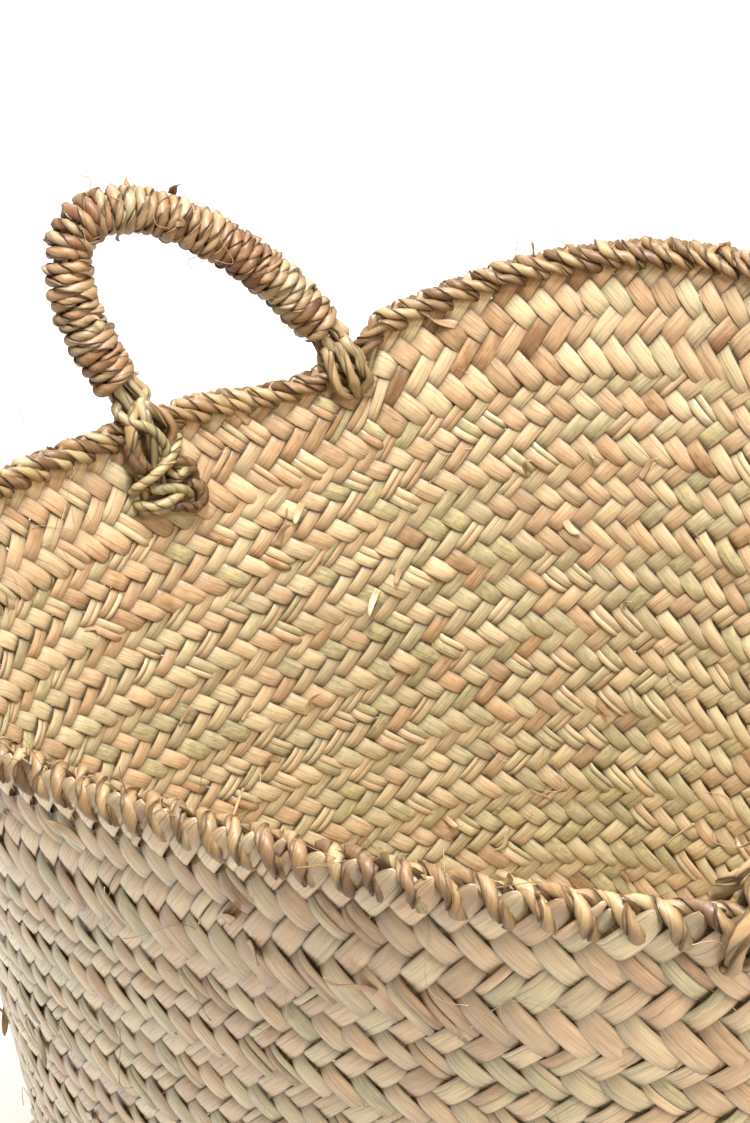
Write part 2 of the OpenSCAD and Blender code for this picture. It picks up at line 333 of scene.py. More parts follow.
# The leaf's pattern. Its scales are in half widths across a strip and in mm along it, and the
# scatters tell one strip's pattern from the next one's.
FIBRE_SCALE, FIBRE_STRETCH, FIBRE_SCATTER, FIBRE_DETAIL = 7.0, 0.07, 61.0, 4.0
PATCH_SCALE, PATCH_STRETCH, PATCH_SCATTER, PATCH_DETAIL = 0.8, 0.11, 23.0, 2.0
NOISE_ROUGHNESS = 0.6
NOISE_LOW, NOISE_HIGH = 0.3, 0.7  # the range in which most of the noise lies
PATCH_HUE = 0.6  # how far the patches shift the hue
PATCH_BEND = 0.5  # how far the patches bend a split line
SPLIT_LINES = 0.55  # share of the strips with a split line
LINE_SCATTER, LINE_CHANCE_SCATTER = 91.7, 37.3
LINE_REACH = 0.65  # how far a split line may lie off the middle
LINE_W, LINE_SHADE = 0.07, 0.5  # half a split line's width, and how much it darkens
EDGE_START, EDGE_PAINTED_SHADE = 0.82, 0.5  # where a strip starts to darken towards its edge, and its edge's tone: painted shade of the gaps between strips
FIBRE_SHADE = (0.72, 1.17)  # tone of the darkest and the palest fibres
FIBRE_ROUGHNESS = (-0.07, 0.12)  # what they change in the roughness
DARKENING_STRENGTH = 0.75  # how far a full darkening turns the leaf to the dark brown; the darkening is mostly painted shade
RELIEF, RELIEF_DEPTH = 0.35, 0.0006  # strength of the fibres' bump, and its depth in metres


def colour(red, green, blue):
    """A colour from its 0-255 values on a screen."""
    return (*[(c / 255 / 12.92 if c <= 10 else ((c / 255 + 0.055) / 1.055) ** 2.4)
              for c in (red, green, blue)], 1)


class Nodes:
    """Short ways to add nodes to a material's tree. Each takes values or other nodes' outputs."""

    def __init__(self, tree):
        self.tree = tree

    def add(self, kind, inputs=(), **settings):
        made = self.tree.nodes.new(kind)
        for key, value in settings.items():
            setattr(made, key, value)
        for key, value in dict(inputs).items():
            if isinstance(value, bpy.types.NodeSocket):
                self.tree.links.new(value, made.inputs[key])
            else:
                made.inputs[key].default_value = value
        return made

    def maths(self, operation, a, b=0.0, c=0.0):
        return self.add("ShaderNodeMath", {0: a, 1: b, 2: c}, operation=operation).outputs[0]

    def spread(self, value, low, high, to_low, to_high):
        ranged = self.add("ShaderNodeMapRange", {"Value": value, "From Min": low, "From Max": high,
                                                 "To Min": to_low, "To Max": to_high})
        return ranged.outputs["Result"]

    def noise(self, x, y, z, detail):
        at = self.add("ShaderNodeCombineXYZ", {0: x, 1: y, 2: z}).outputs[0]
        made = self.add("ShaderNodeTexNoise", {"Vector": at, "Scale": 1.0, "Detail": detail,
                                               "Roughness": NOISE_ROUGHNESS})
        return made.outputs[0]

    def blend(self, kind, factor, a, b):
        inputs = {0: factor, 6: a, 7: b}
        return self.add("ShaderNodeMix", inputs, data_type="RGBA", blend_type=kind).outputs[2]

    def ramp(self, value, stops):
        made = self.add("ShaderNodeValToRGB", {0: value})
        while len(made.color_ramp.elements) < len(stops):
            made.color_ramp.elements.new(0.5)
        for element, (position, shade) in zip(made.color_ramp.elements, stops):
            element.position = position
            element.color = colour(*shade)
        return made.outputs[0]

    def parts(self, attribute):
        """The three values of one of the meshes' attributes."""
        source = self.add("ShaderNodeAttribute", attribute_name=attribute).outputs["Vector"]
        return self.add("ShaderNodeSeparateXYZ", {0: source}).outputs


def leaf_material(name, stops, roughness, coat):
    """Dry leaf: a palette picked by hue, fibres along the strip, split lines, and painted shade: darker
    edges and a darkening.
    """
    material = bpy.data.materials.new(name)
    material.use_nodes = True
    shader = material.node_tree.nodes["Principled BSDF"]
    shader.inputs["Coat Weight"].default_value = coat
    shader.inputs["Coat Roughness"].default_value = COAT_ROUGHNESS
    nodes = Nodes(material.node_tree)
    maths, spread = nodes.maths, nodes.spread
    across, along, ident = nodes.parts("leaf")
    hue, tone, darkening = nodes.parts("mix")

    fibres = nodes.noise(maths("MULTIPLY", across, FIBRE_SCALE), maths("MULTIPLY", along, FIBRE_STRETCH),
                         maths("MULTIPLY", ident, FIBRE_SCATTER), FIBRE_DETAIL)
    patches = nodes.noise(maths("MULTIPLY", across, PATCH_SCALE), maths("MULTIPLY", along, PATCH_STRETCH),
                          maths("MULTIPLY", ident, PATCH_SCATTER), PATCH_DETAIL)
    palette = nodes.ramp(maths("MULTIPLY_ADD", maths("SUBTRACT", patches, 0.5), PATCH_HUE, hue), stops)

    # A split line runs along some strips, at a place that each strip's number gives
    bent = maths("MULTIPLY_ADD", maths("SUBTRACT", patches, 0.5), PATCH_BEND, across)
    scatter = maths("FRACT", maths("MULTIPLY", ident, LINE_SCATTER))
    line = maths("MULTIPLY_ADD", scatter, 2 * LINE_REACH, -LINE_REACH)
    away = maths("ABSOLUTE", maths("SUBTRACT", bent, line))
    chance = maths("FRACT", maths("MULTIPLY", ident, LINE_CHANCE_SCATTER))
    has_line = maths("GREATER_THAN", chance, 1 - SPLIT_LINES)
    crack = maths("SUBTRACT", 1.0, maths("MULTIPLY", has_line, spread(away, 0.0, LINE_W, LINE_SHADE, 0.0)))

    # Painted shade of the gaps between strips: each strip or ply darkens towards its edges. The tone holds
    # the painted shade where a strip dives under another.
    edge = spread(maths("ABSOLUTE", across), EDGE_START, 1.0, 1.0, EDGE_PAINTED_SHADE)
    shade = maths("MULTIPLY", spread(fibres, NOISE_LOW, NOISE_HIGH, *FIBRE_SHADE), tone)
    shade = maths("MULTIPLY", maths("MULTIPLY", shade, crack), edge)
    # The darkening mixes the palette towards dark brown: mostly painted shade at the seams and in the
    # grooves between plies
    plain = nodes.blend("MIX", maths("MULTIPLY", darkening, DARKENING_STRENGTH), palette, colour(*DARKENING_COLOUR))
    grey = nodes.add("ShaderNodeCombineXYZ", {0: shade, 1: shade, 2: shade}).outputs[0]
    links = material.node_tree.links
    links.new(nodes.blend("MULTIPLY", 1.0, plain, grey), shader.inputs["Base Color"])

    # Pale fibres are duller than dark ones, and all of them stand in relief
    dull, duller = (roughness + change for change in FIBRE_ROUGHNESS)
    links.new(spread(fibres, NOISE_LOW, NOISE_HIGH, dull, duller), shader.inputs["Roughness"])
    relief = nodes.add("ShaderNodeBump", {"Height": maths("MULTIPLY", fibres, crack), "Strength": RELIEF,
                                          "Distance": RELIEF_DEPTH})
    links.new(relief.outputs[0], shader.inputs["Normal"])
    return material


MATERIALS = {"plaited_leaf": leaf_material("plaited_leaf", LEAF_STOPS, LEAF_ROUGHNESS, LEAF_COAT)}
for slot, stops in CORD_STOPS.items():
    MATERIALS[slot] = leaf_material(slot, stops, CORD_ROUGHNESS, CORD_COAT)


# --- The plaited bands ---

STRIP_PAST = 0.25  # rows by which a strip runs on past the band's edges
STRIP_STATIONS = 37
STATIONS = np.linspace(-STRIP_PAST, ROWS + STRIP_PAST, STRIP_STATIONS)
# A strip's section: shares of its half width and, upwards, of its thickness. Its edges are sharp.
SECTION_C = np.array([-1, -0.78, 0, 0.78, 1, 0.78, 0, -0.78])
SECTION_T = np.array([0, 0.9, 1, 0.9, 0, -0.9, -1, -0.9]) * LEAF_T / 2
SECTION_EDGES = (0, 4)
HALF_STRIP = 0.25  # half a strip's width, in steps along the band and in rows
STRIP_W = (0.98, 1.12)  # least and greatest width of a strip, as shares of its usual one
SPLIT_SHARE = 0.16  # share of strips that are split lengthwise
SPLIT_OFF = 0.35  # how far off a strip's middle its split may be
SPLIT_LAP = 0.02  # by which the halves of a split strip are wider than their share
# Rows from the band's edges to where a strip starts to narrow, and rows over which it does
TIP_INSET, TIP_REACH = 0.02, 0.32
DRIFT, DRIFT_PACE = 0.07, (0.8, 1.6)  # how far a strip wanders sideways, and radians a row
STEEP = 1.4  # how sharply a strip dives between floats
END_REACH = 0.8  # rows over which a strip curls at the band's edges
SHINGLE = 0.3  # how far one edge of a strip laps over its neighbour
SHINGLE_SPREAD, LIFT_SPREAD = 0.25, 0.14  # how uneven the lap and the lift of floats are
DIVE_PAINTED_SHADE = 0.42  # painted shade: how much darker a strip is where it dives under another
TONE_SPREAD = 0.08  # how much the strips differ in tone
CROWN_SHARES = (0.8, 1.8)  # least and greatest share of CROWN, by how far a float stands out
# Painted shade under a band's top seam, below the ridge of the band above, and below its last row in the
# seam, with the rows over which it fades
TOP_PAINTED_SHADE, TOP_PAINTED_SHADE_START, TOP_PAINTED_SHADE_FADE = 0.35, 0.8, 0.55
FOOT_PAINTED_SHADE, FOOT_PAINTED_SHADE_FADE = 0.5, 0.3
# How far each row of floats stands out, as shares of LIFT: on the inside, then on the outside
WALL_RELIEF = ((0.8, 1.0, 1.1, 1.5), (0.8, 1.0, 1.0, 1.15))
RIM_RELIEF = ((1.0, 1.0, 1.1, 1.5), (2.7, 1.3, 1.0, 1.15))
HEEL_RELIEF = ((0.75, 1.0, 1.1, 1.6), (0.75, 0.8, 0.8, 0.8))
FLAT_RELIEF = ((0.9, 1.0, 1.0, 1.4), (0.7, 0.7, 0.7, 0.7))
# Places of the bands' usual colours in the palette. The wall gets paler towards its foot.
RIM_HUE, WALL_HUE, WALL_HUE_STEP, BASE_HUE = 0.42, 0.54, 0.02, 0.6
HUE_SPREAD, LEMON_SHARE, LEMON_HUES = 0.17, 0.03, (0.86, 0.95)
# The centre piece: mm clear of its sides and of its ends, and its share of the bands' painted shade
CENTRE_CLEAR, CENTRE_END_CLEAR, CENTRE_PAINTED_SHADE = 1, 2, 0.5


def wave(s):
    """+1 where a strip of the first family lies on the inside, -1 where it lies on the outside."""
    s_in = np.clip(s, 0.5, ROWS - 0.5)
    past = np.abs(s - s_in) / END_REACH
    return (np.tanh(STEEP * np.cos(np.pi * (s_in - 0.5))) / math.tanh(STEEP)
            * np.sqrt(np.clip(1 - past ** 2, 0.05, 1)))


def strips(cells):
    """Family (+1 or -1), start, middle and half width of each strip or split half."""
    rows = []
    for family in (1, -1):
        for cell in range(cells):
            start = cell if family > 0 else cell + 0.5
            if rng.random() < SPLIT_SHARE:
                at = rng.uniform(-SPLIT_OFF, SPLIT_OFF)
                rows.append((family, start, (at - 1) / 2, (at + 1) / 2 + SPLIT_LAP))
                rows.append((family, start, (at + 1) / 2, (1 - at) / 2 + SPLIT_LAP))
            else:
                rows.append((family, start, 0.0, rng.uniform(*STRIP_W)))
    return np.array(rows).T


def weave(cells, relief):
    """Cell, row and inward height of every point of a band, with the painted shade at its seams, and its
    tone, which holds painted shade where a strip dives under another.
    """
    family, start, mid, half = (v[:, None, None] for v in strips(cells))
    count = len(family)
    s = STATIONS[None, :, None]
    row = np.clip(np.floor(STATIONS), 0, ROWS - 1).astype(int)
    narrow = np.abs(STATIONS - np.clip(STATIONS, TIP_INSET, ROWS - TIP_INSET)) / TIP_REACH
    width = half * np.sqrt(np.clip(1 - narrow ** 2, 0.1, 1))[None, :, None]
    phase = rng.uniform(0, 2 * math.pi, (count, 1, 1))
    drift = DRIFT * np.sin(s * rng.uniform(*DRIFT_PACE, (count, 1, 1)) + phase)
    c = mid + width * SECTION_C + drift
    u = start + family * s + HALF_STRIP * c
    v = s - family * HALF_STRIP * c
    over = family * wave(s)
    inner, outer = (np.array(side)[row][None, :, None] for side in relief)
    lift = LIFT * np.where(over > 0, inner, outer)
    lift = lift * (1 + LIFT_SPREAD * rng.standard_normal((count, ROWS, 1))[:, row])
    tilt = SHINGLE + SHINGLE_SPREAD * rng.standard_normal((count, ROWS, 1))[:, row]
    height = over * lift + tilt * c * np.abs(over) + SECTION_T
    height = height + CROWN * (1 - SECTION_C ** 2) * over * np.clip(lift / LIFT, *CROWN_SHARES)
    # Painted shade under the top seam and past the last row
    darkening = (np.clip(TOP_PAINTED_SHADE_START - v / TOP_PAINTED_SHADE_FADE, 0, 1) * TOP_PAINTED_SHADE
            + np.clip((v - ROWS) / FOOT_PAINTED_SHADE_FADE, 0, 1) * FOOT_PAINTED_SHADE)
    # Random tone for each strip, with painted shade where it dives under another
    shade = rng.normal(1.0, TONE_SPREAD, (count, 1, 1)) * (1 - DIVE_PAINTED_SHADE * (1 - np.abs(over)))
    return u, v, height, darkening, shade


def in_palette(hues):
    return np.clip(hues, 0.02, 0.98)


def pick_hues(count, usual):
    hues = rng.normal(usual, HUE_SPREAD, count)
    hues = np.where(rng.random(count) < LEMON_SHARE, rng.uniform(*LEMON_HUES, count), hues)
    return in_palette(hues)[:, None, None]


def strip_piece(node, grid, hue, shade, darkening):
    """The mesh that stands for one node of the plait."""
    grid[..., 2] = np.maximum(grid[..., 2], 0)
    count = len(grid)
    ident = rng.random((count, 1, 1))
    piece = loft(f"{node}_plait", grid, SECTION_C, STATIONS[None, :, None] * FLOAT_LENGTH, ident,
                 (pick_hues(count, hue), shade, darkening), sharp=SECTION_EDGES)
    finish_piece(piece, "basket", "plaited_leaf", [node])


def plaited_band(node, top, bottom, relief, hue):
    line = Round((top + bottom) / 2)
    u, v, height, darkening, shade = weave(line.cells, relief)
    grid = place(line.angle(u), top + (bottom - top) / ROWS * v, height)
    strip_piece(node, grid, hue, shade, darkening)


def centre_piece():
    """The straight start of the plait, a pointed oval in the middle of the base."""
    half = BAND / 2 - CENTRE_CLEAR
    length = half + STRETCH
    reach = length - CENTRE_END_CLEAR
    cells = int(2 * reach / FLOAT_PITCH)
    u, v, height, darkening, shade = weave(cells, FLAT_RELIEF)
    x = np.clip((u / cells * 2 - 1) * reach, -reach, reach)
    share = np.sqrt(np.clip(1 - (x / length) ** 2, 0.02, 1))
    grid = np.stack([x, (v / ROWS * 2 - 1) * half * share, PLAIT_T / 2 + height], -1)
    strip_piece("base_centre", grid, BASE_HUE, shade, darkening * CENTRE_PAINTED_SHADE)


def make_bands():
    plaited_band("rim_band", 0, RIM_BAND, RIM_RELIEF, RIM_HUE)
    stretches = (
        ("wall", RIM_BAND, WALL_TURNS, WALL_RELIEF, WALL_HUE, WALL_HUE_STEP),
        ("heel", WALL_DROP, HEEL_TURNS, HEEL_RELIEF, BASE_HUE, 0),
        ("base", DROP, BASE_TURNS, FLAT_RELIEF, BASE_HUE, 0),
    )
    for part, start, turns, relief, hue, hue_step in stretches:
        for i in range(1, turns + 1):
            above = turns - i
            top = start + above * BAND
            plaited_band(f"{part}_band_{i}", top, top + BAND, relief, hue + hue_step * above)
    centre_piece()


# --- Cords ---

# The plies of a cord, as shares of its thickness: a ply's distance off the cord's middle line,
# and half of the ply's own thickness and width
ROUND_PLY, LEAFY_PLY, SINGLE_PLY = (0.21, 0.29, 0.36), (0.22, 0.28, 0.44), (0, 0.5, 0.5)
LEAFY_POINT = 0.45  # how far a leafy ply narrows towards its edges
GROOVE_PAINTED_SHADE = 0.6  # how dark the painted shade in the grooves between leafy plies is
RIDGE = 0.06  # height of the ridges along a ply, as a share of its size
PLY_SIZE = (0.6, 1.4)  # least and greatest size of a ply, as shares of its usual one
FINE_STEPS = 12  # steps between two control points of a path


def curve_through(points, count):
    """Smooth paths through control points, paths x controls x 3, with count even steps each."""
    points = np.asarray(points, float)
    ends = [2 * points[:, :1] - points[:, 1:2], points, 2 * points[:, -1:] - points[:, -2:-1]]
    p = np.concatenate(ends, axis=1)
    spans = points.shape[1] - 1
    t = np.linspace(0, spans, FINE_STEPS * spans + 1)
    i = np.minimum(t.astype(int), spans - 1)
    f = (t - i)[None, :, None]
    a, b, c, d = (p[:, i + k] for k in range(4))
    fine = b + 0.5 * f * (c - a + f * (2 * a - 5 * b + 4 * c - d + f * (3 * (b - c) + d - a)))
    return np.array([resample(line, count) for line in fine])


def resample(line, count):
    steps = np.concatenate([[0], np.cumsum(np.linalg.norm(np.diff(line, axis=0), axis=1))])
    even = np.linspace(0, steps[-1], count)
    return np.stack([np.interp(even, steps, line[:, k]) for k in range(3)], -1)


def tangents(path):
    return unit(np.gradient(path, axis=1))


def frames_along(path):
    """Two unit vectors square to each path, carried along it without twist."""
    way = tangents(path)
    first = np.cross(way[:, 0], np.where(np.abs(way[:, 0, 2:]) < 0.8, [[0.0, 0, 1]], [[1.0, 0, 0]]))
    normals = [unit(first)]
    for k in range(1, path.shape[1]):
        n = normals[-1] - way[:, k] * (normals[-1] * way[:, k]).sum(-1, keepdims=True)
        normals.append(unit(n))
    normal = np.stack(normals, 1)
    return normal, np.cross(way, normal)


def path_lengths(path):
    steps = np.linalg.norm(np.diff(path, axis=1), axis=-1)
    return np.concatenate([np.zeros((len(path), 1)), np.cumsum(steps, axis=1)], axis=1)


def even_noise(rows, length, step, amount):
    """Smooth random values along paths of one length in stations, with a new value every step."""
    table = rng.standard_normal((rows, length // step + 3)) * amount
    at = np.arange(length) / step
    low = at.astype(int)
    share = smooth(at - low)
    return table[:, low] * (1 - share) + table[:, low + 1] * share


def plied(path, thickness, pitch, plies=2, sides=12, taper=0.0, rough=0.06, leafy=False, wander=0.0,
          step=6):
    """Plies twisted round paths. Returns the grid, its across and along values, and the number
    of tubes. Leafy plies are wide and flat with pointed edges, as a rolled leaf has. taper is in
    mm at each end, rough and wander say how uneven a ply's size and twist are, and step says how
    many stations a bump is long."""
    normal, binormal = frames_along(path)
    length = path_lengths(path)
    paths, stations = path.shape[:2]
    shares = SINGLE_PLY if plies == 1 else LEAFY_PLY if leafy else ROUND_PLY
    off, half_t, half_w = shares
    reach = thickness * off
    grids = []
    turn = rng.uniform(0, 2 * math.pi, (paths, 1)) + even_noise(paths, stations, 2 * step, wander)
    theta = np.arange(sides) * 2 * math.pi / sides
    point = np.abs(np.sin(theta)) ** 2 * (LEAFY_POINT if leafy else 0)
    for k in range(plies):
        phase = turn + 2 * math.pi * (length / pitch + k / plies)
        radial = normal * np.cos(phase)[..., None] + binormal * np.sin(phase)[..., None]
        centre = path + radial * reach
        beside = np.cross(tangents(centre), radial)
        bumps = even_noise(paths, stations, step, 1.0)
        size = thickness * np.clip(1 + rough * bumps, *PLY_SIZE)
        if taper:
            ends = np.minimum(length, length[:, -1:] - length) / taper
            size = size * np.sqrt(np.clip(ends, 0.05, 1))
        r_out = (size * half_t)[..., None, None]
        r_side = (size * half_w * (1 + rough * even_noise(paths, stations, step, 1.0)))[..., None, None]
        ridge = 1 + RIDGE * np.cos(3 * theta + 4 * bumps[..., None])[..., None]
        grids.append(centre[:, :, None] + ridge * (
            radial[:, :, None] * (np.cos(theta) * (1 - point))[:, None] * r_out
            + beside[:, :, None] * np.sin(theta)[:, None] * r_side))
    grid = np.concatenate(grids)
    return grid, np.sin(theta), np.tile(length, (plies, 1))[..., None], len(grid)


def cord_piece(name, path, thickness, pitch, hue, hue_spread=0.2, tone=(1.0, 0.07), closed=False,
               darkening=0.0, per_length=0.0, **shape):
    """A mesh of twisted cords. With per_length, the hue drifts along each ply over that length
    in mm. shape goes to plied."""
    grid, across, along, count = plied(path, thickness, pitch, **shape)
    hues = in_palette(rng.normal(hue, hue_spread, (count, 1, 1)))
    if per_length:
        spans = int(along.max() / per_length) + 3
        table = in_palette(rng.normal(hue, hue_spread, (count, spans)))
        at = along[:, :, 0] / per_length
        hues = np.array([np.interp(a, np.arange(spans), row) for a, row in zip(at, table)])[..., None]
    tones = rng.normal(*tone, (count, 1, 1))
    edges = ()
    if shape.get("leafy"):
        edges = leafy_edges(grid)
        # Painted shade in the grooves between leafy plies, at each ply's pointed edges
        darkening = darkening + GROOVE_PAINTED_SHADE * np.abs(across) ** 4
    return loft(name, grid, across, along, rng.random((count, 1, 1)), (hues, tones, darkening), closed=closed,
                sharp=edges)


def leafy_edges(grid):
    """The two sides of a leafy ply's section that are its pointed edges."""
    sides = grid.shape[2]
    return (sides // 4, sides * 3 // 4)


# One stitch of the rim cord: steps of the strips along the rim, mm down from the edge, mm inwards.
# It comes out between two floats inside, lies aslant over the edge and goes in between two outside.
STITCH = ((-1.3, 7.2, 0.5), (-1.16, 5.6, 2.8), (-0.84, 3.6, 4.2), (-0.36, 1.0, 4.6), (0.12, -1.6, 3.8),
          (0.52, -3.4, 1.0), (0.78, -3.0, -2.2), (0.92, -0.6, -4.0), (1.0, 2.8, -4.3),
          (1.08, 5.6, -2.8), (1.12, 8.0, -0.5))
STITCH_START, STITCH_D, STITCH_TWIST = 0.25, 5.9, 22
START_JITTER, STITCH_JITTER = 0.05, (0.03, 0.4, 0.3)
STITCH_STATIONS = 31
STITCH_HUE, STITCH_HUE_SPREAD = 0.38, 0.24

SEAM_CORD_D = 2.4
SEAM_SWAY = (1.1, 0.7)  # how far a seam cord winds up and down, and in and out
SEAM_STATIONS = 6  # for each strip


def make_rim_cord():
    line = Round(RIM_BAND / 2)
    start = np.arange(line.cells)[:, None] + STITCH_START
    start = start + START_JITTER * rng.standard_normal((line.cells, 1))
    stitch = np.array(STITCH)
    jitter = rng.standard_normal((line.cells, len(stitch), 3)) * STITCH_JITTER
    u = start + stitch[:, 0] + jitter[..., 0]
    points = place(line.angle(u), stitch[:, 1] + jitter[..., 1], stitch[:, 2] + jitter[..., 2])
    path = curve_through(points, STITCH_STATIONS)
    piece = cord_piece("rim_overcast", path, STITCH_D, STITCH_TWIST, STITCH_HUE, STITCH_HUE_SPREAD,
                       leafy=True, rough=0.1, wander=0.4)
    finish_piece(piece, "basket", "rim_cord", ["rim_cord"])


def make_seam_cords():
    """The sewing cord of each seam, which winds a little up and down in its gap."""
    seams = BASE_TURNS + 1 + WALL_TURNS + HEEL_TURNS
    for i in range(1, seams + 1):
        base = DROP + (BASE_TURNS + 1 - i) * BAND
        d = base if i <= BASE_TURNS + 1 else RIM_BAND + (seams - i) * BAND
        line = Round(d)
        u = np.linspace(0, line.cells, line.cells * SEAM_STATIONS, endpoint=False)
        up, inwards = SEAM_SWAY
        path = place(line.angle(u), d + up * np.sin(2 * math.pi * u), inwards * np.cos(2 * math.pi * u))
        piece = cord_piece(f"seam_cord_{i}_twist", path[None], SEAM_CORD_D, FLOAT_PITCH, 0.5, sides=6,
                           closed=True, plies=1, darkening=0.3)
        finish_piece(piece, "basket", "sewing_cord", [f"seam_cord_{i}"])


# --- Handles ---

WRAP_CLEAR = 8.5  # from a pivot to the start of the wrapping

WRAP_CORD_D, WRAP_TURNS, WRAP_TWIST = 6.3, 41, 21
WRAP_STATIONS = 44  # for each turn
WRAP_SINK = 0.6  # of the cord's thickness, from the grip's surface to its middle
WOBBLE, WOBBLE_STEP = 0.5, 2.1  # mm by which a turn strays, and radians from one stray to the next
WOBBLE_SHIFT = 37  # stations between a stray along the grip and one off it
WRAP_HUE, WRAP_HUE_SPREAD, WRAP_TONE = 0.42, 0.24, (0.97, 0.09)
ARCH_STATIONS = 400  # at which the grip's length is measured

STRANDS = 7  # in a handle's core, one of them in the middle
STRAND_D, STRAND_TWIST = 5.8, 60
STRAND_RING = CORE_D / 2 - STRAND_D / 2
CORE_INSET = 2  # degrees of the arch between the wrapping's end and the core's
CORE_SWELL = 0.4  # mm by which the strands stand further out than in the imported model
CORE_STATIONS = 90


class Handle:
    """A handle's pivots, own axes and arch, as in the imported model."""

    def __init__(self, number):
        self.body = f"handle_{number}"
        self.feet = FEET[number - 1]
        at, _, up, _ = surface(np.array(self.feet, float), np.zeros(2))
        self.pivots = at + up * PIVOT_RISE
        self.e = unit(self.pivots[0] - self.pivots[1])
        rise = up.sum(0)
        self.f = unit(rise - self.e * (rise @ self.e))
        self.g = np.cross(self.f, self.e)
        self.half = np.linalg.norm(self.pivots[0] - self.pivots[1]) / 2
        speed = math.hypot(ARCH_SKEW, ARCH_H) * math.pi / 180
        self.wrap_start = WRAP_CLEAR / speed

    def at(self, u):
        """A point of the arch's middle line, where u runs from 0 at the first pivot to 180."""
        c, s = np.cos(np.radians(u))[..., None], np.sin(np.radians(u))[..., None]
        return self.pivots.mean(0) + self.e * (self.half * c + ARCH_SKEW * s) + self.f * ARCH_H * s

    def side(self, u):
        """The arch's own sideways direction, in its plane and square to its line."""
        c, s = np.cos(np.radians(u))[..., None], np.sin(np.radians(u))[..., None]
        way = unit(self.e * (ARCH_SKEW * c - self.half * s) + self.f * ARCH_H * c)
        return np.cross(way, self.g)

    def ring(self, u, radius, turn):
        """Points off the arch's line, turned round it by an angle in radians."""
        radius, turn = (np.broadcast_to(v, np.shape(u))[..., None] for v in (radius, turn))
        return self.at(u) + radius * (self.side(u) * np.cos(turn) + self.g * np.sin(turn))

    def foot(self, side, x, inward, z):
        """A point by a foot: back along the rim, into the basket and up the wall, in mm."""
        at, along, up, inside = (v[0] for v in surface(np.array([float(self.feet[side])]), np.zeros(1)))
        x, inward, z = (np.asarray(v, float)[..., None] for v in (x, inward, z))
        return at - along * x + inside * inward + up * z


def make_wrap(handle):
    """The cord wound round a grip in close turns."""
    turn = np.linspace(0, WRAP_TURNS * 2 * math.pi, WRAP_TURNS * WRAP_STATIONS)
    strays = np.arange(0, turn[-1] + 2 * WOBBLE_STEP, WOBBLE_STEP)
    wobble = np.interp(turn, strays, rng.standard_normal(len(strays)))
    even = np.linspace(handle.wrap_start, 180 - handle.wrap_start, ARCH_STATIONS)
    steps = np.concatenate([[0], np.cumsum(np.linalg.norm(np.diff(handle.at(even), axis=0), axis=1))])
    reach = WRAP_CORD_D / 2
    lengths = np.linspace(reach, steps[-1] - reach, len(turn)) + WOBBLE * wobble
    u = np.interp(lengths, steps, even)
    radius = GRIP_D / 2 - WRAP_CORD_D * WRAP_SINK + WOBBLE * np.roll(wobble, WOBBLE_SHIFT)
    path = handle.ring(u, radius, -turn)[None]
    piece = cord_piece(f"{handle.body}_wrapping", path, WRAP_CORD_D, WRAP_TWIST, WRAP_HUE, WRAP_HUE_SPREAD,
                       tone=WRAP_TONE, per_length=90, taper=9, rough=0.2, leafy=True, wander=0.8, step=5)
    finish_piece(piece, handle.body, "handle_wrap", [f"{handle.body}_wrap"])


def strand_turns():
    """The angles at which the outer strands stand round the arch's line."""
    return np.arange(STRANDS - 1) * 2 * math.pi / (STRANDS - 1)


def make_core(handle):
    """The straight strands inside a grip, with one in the middle."""
    start = handle.wrap_start + CORE_INSET
    u = np.linspace(start, 180 - start, CORE_STATIONS)
    paths = [handle.ring(u, STRAND_RING + CORE_SWELL, turn) for turn in strand_turns()]
    paths.append(handle.ring(u, 0.0, 0.0))
    piece = cord_piece(f"{handle.body}_core_strands", np.array(paths), STRAND_D, STRAND_TWIST, 0.5, sides=8)
    finish_piece(piece, handle.body, "handle_strands", [f"{handle.body}_core"])


# A strand's way from the knuckle past the rim: mm along the rim, inwards and up. The first value
# is for the outermost strands of a foot. The inner strands of the first foot go down to the knot.
INNER_ENTER = ((3.0, 7.5, 12.0), (5.0, 10.5, 4.5), (5.6, 10.3, -3.0), (4.8, 8.0, -9.5),
               (3.4, 4.0, -14.0), (2.6, 0.5, -16.0))
INNER_KNOT = ((3.0, 7.5, 12.0), (5.5, 10.6, 4.5), (7.0, 10.4, -3.0), (7.5, 8.2, -10.0),
              (6.5, 6.6, -18.0), (6.0, 5.2, -27.0), (5.5, 3.2, -36.0))
OUTER_ENTER = ((3.0, -7.0, 12.5), (5.0, -10.4, 5.0), (5.6, -10.2, -3.0), (4.8, -8.0, -9.5),
               (3.4, -4.0, -14.0), (2.6, -0.5, -16.0))
FAN = 1.5  # how far the strands spread along the rim
STAGGER = 0.6  # mm by which every other strand stands further in
FOOT_JITTER = (0.5, 0.4, 0.3)
# Where the strands leave the wrapping: degrees from its end up the arch, and mm off the arch's line
LEAVE_AT, LEAVE_OFF = (9, 4, -0.5, -4.5), (4.6, 5.0, 6.2, 7.2)
FOOT_STATIONS = 70
FOOT_HUES, FOOT_HUE_SPREAD = (0.55, 0.42), 0.22  # of a handle's first and second foot


